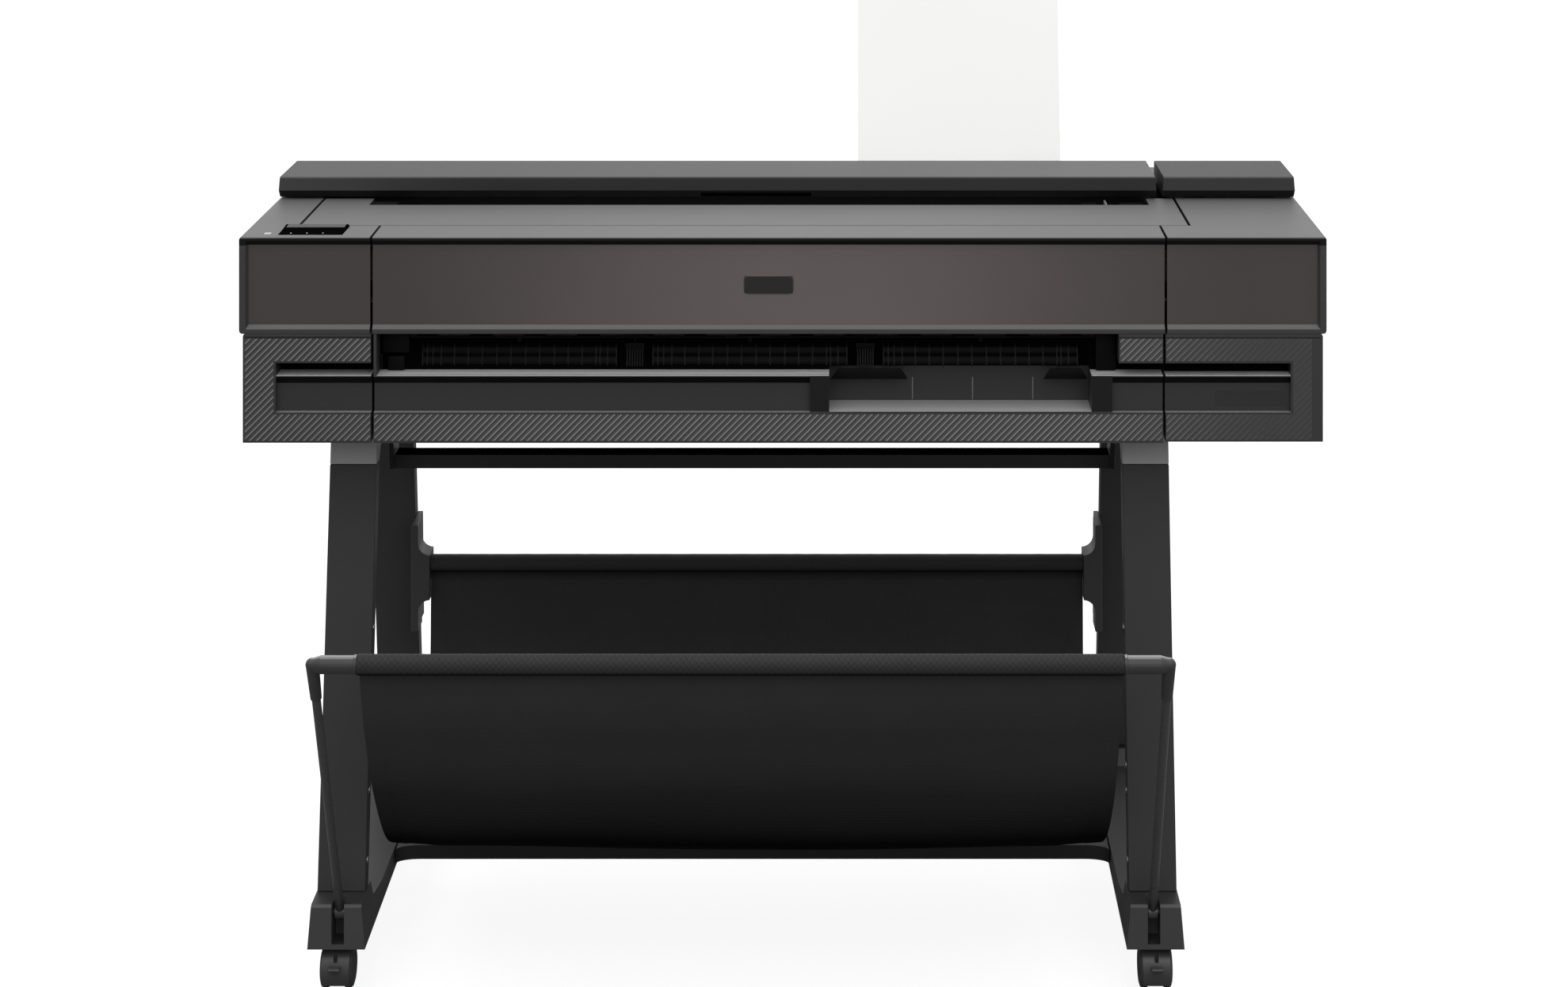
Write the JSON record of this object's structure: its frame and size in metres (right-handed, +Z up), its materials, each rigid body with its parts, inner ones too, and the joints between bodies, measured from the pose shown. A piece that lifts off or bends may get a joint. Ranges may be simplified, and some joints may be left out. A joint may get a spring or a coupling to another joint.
{
  "type": "large format plotter",
  "caption": "Roll-fed wide inkjet plotter on an open stand, with hinged covers, a tilting display, a rear sheet feeder, a folding cloth catch basket and swivel casters.",
  "frame": {"origin": "on the floor, under the middle of the whole bounding box", "axes": "+X along the machine's width to its right as seen from the front, -Y is the front where prints come out, +Z up"},
  "size_m": [1.317, 0.7878, 1.2193],
  "materials": {
    "shell_dark": "satin moulded plastic, brown grey",
    "shell_top": "fine textured moulded plastic, mid grey",
    "black_plastic": "black moulded plastic",
    "display_glass": "gloss black front",
    "button_grey": "light grey plastic",
    "sheet_metal": "folded sheet",
    "turned_steel": "turned",
    "roller_rubber": "matte rubber",
    "ink_black": "moulded",
    "ink_cyan": "moulded",
    "ink_magenta": "moulded",
    "ink_yellow": "moulded",
    "paper_white": "uncoated",
    "stand_paint": "powder coat, near black",
    "bar_paint": "black coated tube",
    "stand_plastic": "moulded, near black",
    "basket_cloth": "black woven cloth",
    "caster_plastic": "moulded",
    "caster_tread": "dark tread"
  },
  "bodies": {
    "stand": {"chassis": "sheet_metal", "left_lower_cover": "shell_dark", "right_lower_cover": "shell_dark", "lower_front_panel": "shell_dark", "left_upper_cover": "shell_dark", "right_upper_cover": "shell_dark", "top_cover": "shell_top", "right_hood_cover": "shell_dark", "rear_cover": "shell_dark", "carriage_rail": "sheet_metal", "drive_belt": "roller_rubber", "platen": "black_plastic", "service_station": "black_plastic", "upper_crossbeam": "bar_paint", "lower_crossbar": "bar_paint", "rear_basket_bar": "bar_paint", "basket_fabric": "basket_cloth", "left_foot": "stand_plastic", "left_leg_bracket": "stand_plastic", "left_bar_bracket": "stand_plastic", "left_front_leg": "stand_paint", "left_rear_leg": "stand_paint", "right_foot": "stand_plastic", "right_leg_bracket": "stand_plastic", "right_bar_bracket": "stand_plastic", "right_front_leg": "stand_paint", "right_rear_leg": "stand_paint"},
    "basket_frame": {"front_basket_bar": "bar_paint", "left_basket_elbow": "stand_plastic", "right_basket_elbow": "stand_plastic", "left_basket_rod": "bar_paint", "right_basket_rod": "bar_paint"},
    "front_flap": {"front_cover": "shell_dark"},
    "roll_lid": {"roll_cover": "shell_dark"},
    "cartridge_door": {"ink_door": "shell_dark"},
    "display": {"control_display": "display_glass"},
    "power_key": {"power_button": "button_grey"},
    "print_carriage": {"carriage": "black_plastic"},
    "motor_wheel": {"motor_pulley": "turned_steel"},
    "idler_wheel": {"idler_pulley": "turned_steel"},
    "feed": {"feed_roller": "roller_rubber"},
    "pinch": {"pinch_roller": "turned_steel"},
    "output": {"output_roller": "roller_rubber"},
    "media": {"roll_spindle": "black_plastic", "media_roll": "paper_white"},
    "sheet": {"loaded_sheet": "paper_white"},
    "ink_black": {"cartridge_black": "ink_black"},
    "ink_cyan": {"cartridge_cyan": "ink_cyan"},
    "ink_magenta": {"cartridge_magenta": "ink_magenta"},
    "ink_yellow": {"cartridge_yellow": "ink_yellow"},
    "front_left_caster": {"front_left_caster_housing": "caster_plastic"},
    "front_left_wheels": {"front_left_caster_wheels": "caster_tread"},
    "rear_left_caster": {"rear_left_caster_housing": "caster_plastic"},
    "rear_left_wheels": {"rear_left_caster_wheels": "caster_tread"},
    "left_brake": {"left_brake_lever": "caster_plastic"},
    "front_right_caster": {"front_right_caster_housing": "caster_plastic"},
    "front_right_wheels": {"front_right_caster_wheels": "caster_tread"},
    "rear_right_caster": {"rear_right_caster_housing": "caster_plastic"},
    "rear_right_wheels": {"rear_right_caster_wheels": "caster_tread"},
    "right_brake": {"right_brake_lever": "caster_plastic"}
  },
  "joints": [
    {"name": "basket_fold", "type": "hinge", "parent": "stand", "child": "basket_frame", "pos_m": [-0.043, -0.19, 0.093], "axis": [-1, 0, 0], "range_deg": [0, 36]},
    {"name": "front_cover_hinge", "type": "hinge", "parent": "stand", "child": "front_flap", "pos_m": [0, -0.083, 0.897], "axis": [-1, 0, 0], "range_deg": [0, 70]},
    {"name": "roll_cover_hinge", "type": "hinge", "parent": "stand", "child": "roll_lid", "pos_m": [0, 0.224, 0.8994], "axis": [-1, 0, 0], "range_deg": [0, 80]},
    {"name": "ink_door_hinge", "type": "hinge", "parent": "stand", "child": "cartridge_door", "pos_m": [0.558, -0.1555, 0.651], "axis": [1, 0, 0], "range_deg": [0, 80]},
    {"name": "display_tilt", "type": "hinge", "parent": "stand", "child": "display", "pos_m": [-0.57525, -0.1425, 0.897], "axis": [1, 0, 0], "range_deg": [0, 40]},
    {"name": "power_press", "type": "slide", "parent": "stand", "child": "power_key", "axis": [0, 0, -1], "range_m": [0, 0.001], "stiffness_N_per_m": 300},
    {"name": "carriage_travel", "type": "slide", "parent": "stand", "child": "print_carriage", "axis": [-1, 0, 0], "range_m": [0, 1.1]},
    {"name": "motor_pulley_spin", "type": "hinge", "parent": "stand", "child": "motor_wheel", "pos_m": [0.622, -0.0525, 0.87], "axis": [0, 1, 0], "continuous": true},
    {"name": "idler_pulley_spin", "type": "hinge", "parent": "stand", "child": "idler_wheel", "pos_m": [-0.622, -0.0525, 0.87], "axis": [0, 1, 0], "continuous": true},
    {"name": "feed_roller_spin", "type": "hinge", "parent": "stand", "child": "feed", "pos_m": [0, -0.026, 0.7745], "axis": [1, 0, 0], "continuous": true},
    {"name": "pinch_roller_spin", "type": "hinge", "parent": "stand", "child": "pinch", "pos_m": [0, -0.026, 0.7928], "axis": [1, 0, 0], "continuous": true},
    {"name": "output_roller_spin", "type": "hinge", "parent": "stand", "child": "output", "pos_m": [0, -0.1045, 0.7745], "axis": [1, 0, 0], "continuous": true},
    {"name": "media_spin", "type": "hinge", "parent": "stand", "child": "media", "pos_m": [0, 0.15, 0.8], "axis": [1, 0, 0], "continuous": true},
    {"name": "sheet_lift", "type": "slide", "parent": "stand", "child": "sheet", "axis": [0, 0.2419, 0.9703], "range_m": [0, 0.11]},
    {"name": "black_cartridge_eject", "type": "slide", "parent": "stand", "child": "ink_black", "axis": [0, -1, 0], "range_m": [0, 0.005]},
    {"name": "cyan_cartridge_eject", "type": "slide", "parent": "stand", "child": "ink_cyan", "axis": [0, -1, 0], "range_m": [0, 0.005]},
    {"name": "magenta_cartridge_eject", "type": "slide", "parent": "stand", "child": "ink_magenta", "axis": [0, -1, 0], "range_m": [0, 0.005]},
    {"name": "yellow_cartridge_eject", "type": "slide", "parent": "stand", "child": "ink_yellow", "axis": [0, -1, 0], "range_m": [0, 0.005]},
    {"name": "front_left_swivel", "type": "hinge", "parent": "stand", "child": "front_left_caster", "pos_m": [-0.534, -0.166, 0.056], "axis": [0, 0, 1], "continuous": true},
    {"name": "front_left_roll", "type": "hinge", "parent": "front_left_caster", "child": "front_left_wheels", "pos_m": [-0.534, -0.181, 0.025], "axis": [1, 0, 0], "continuous": true},
    {"name": "rear_left_swivel", "type": "hinge", "parent": "stand", "child": "rear_left_caster", "pos_m": [-0.534, 0.355, 0.056], "axis": [0, 0, 1], "continuous": true},
    {"name": "rear_left_roll", "type": "hinge", "parent": "rear_left_caster", "child": "rear_left_wheels", "pos_m": [-0.534, 0.34, 0.025], "axis": [1, 0, 0], "continuous": true},
    {"name": "left_brake_press", "type": "hinge", "parent": "front_left_caster", "child": "left_brake", "pos_m": [-0.534, -0.211, 0.0342], "axis": [1, 0, 0], "range_deg": [0, 15]},
    {"name": "front_right_swivel", "type": "hinge", "parent": "stand", "child": "front_right_caster", "pos_m": [0.448, -0.166, 0.056], "axis": [0, 0, 1], "continuous": true},
    {"name": "front_right_roll", "type": "hinge", "parent": "front_right_caster", "child": "front_right_wheels", "pos_m": [0.448, -0.181, 0.025], "axis": [1, 0, 0], "continuous": true},
    {"name": "rear_right_swivel", "type": "hinge", "parent": "stand", "child": "rear_right_caster", "pos_m": [0.448, 0.355, 0.056], "axis": [0, 0, 1], "continuous": true},
    {"name": "rear_right_roll", "type": "hinge", "parent": "rear_right_caster", "child": "rear_right_wheels", "pos_m": [0.448, 0.34, 0.025], "axis": [1, 0, 0], "continuous": true},
    {"name": "right_brake_press", "type": "hinge", "parent": "front_right_caster", "child": "right_brake", "pos_m": [0.448, -0.211, 0.0342], "axis": [1, 0, 0], "range_deg": [0, 15]}
  ],
  "couplings": [
    {"joint": "motor_pulley_spin", "follows": "carriage_travel", "rad_per_m": 142.86},
    {"joint": "idler_pulley_spin", "follows": "carriage_travel", "rad_per_m": 142.86},
    {"joint": "pinch_roller_spin", "follows": "feed_roller_spin", "ratio": -2},
    {"joint": "output_roller_spin", "follows": "feed_roller_spin", "ratio": 1.0435}
  ]
}
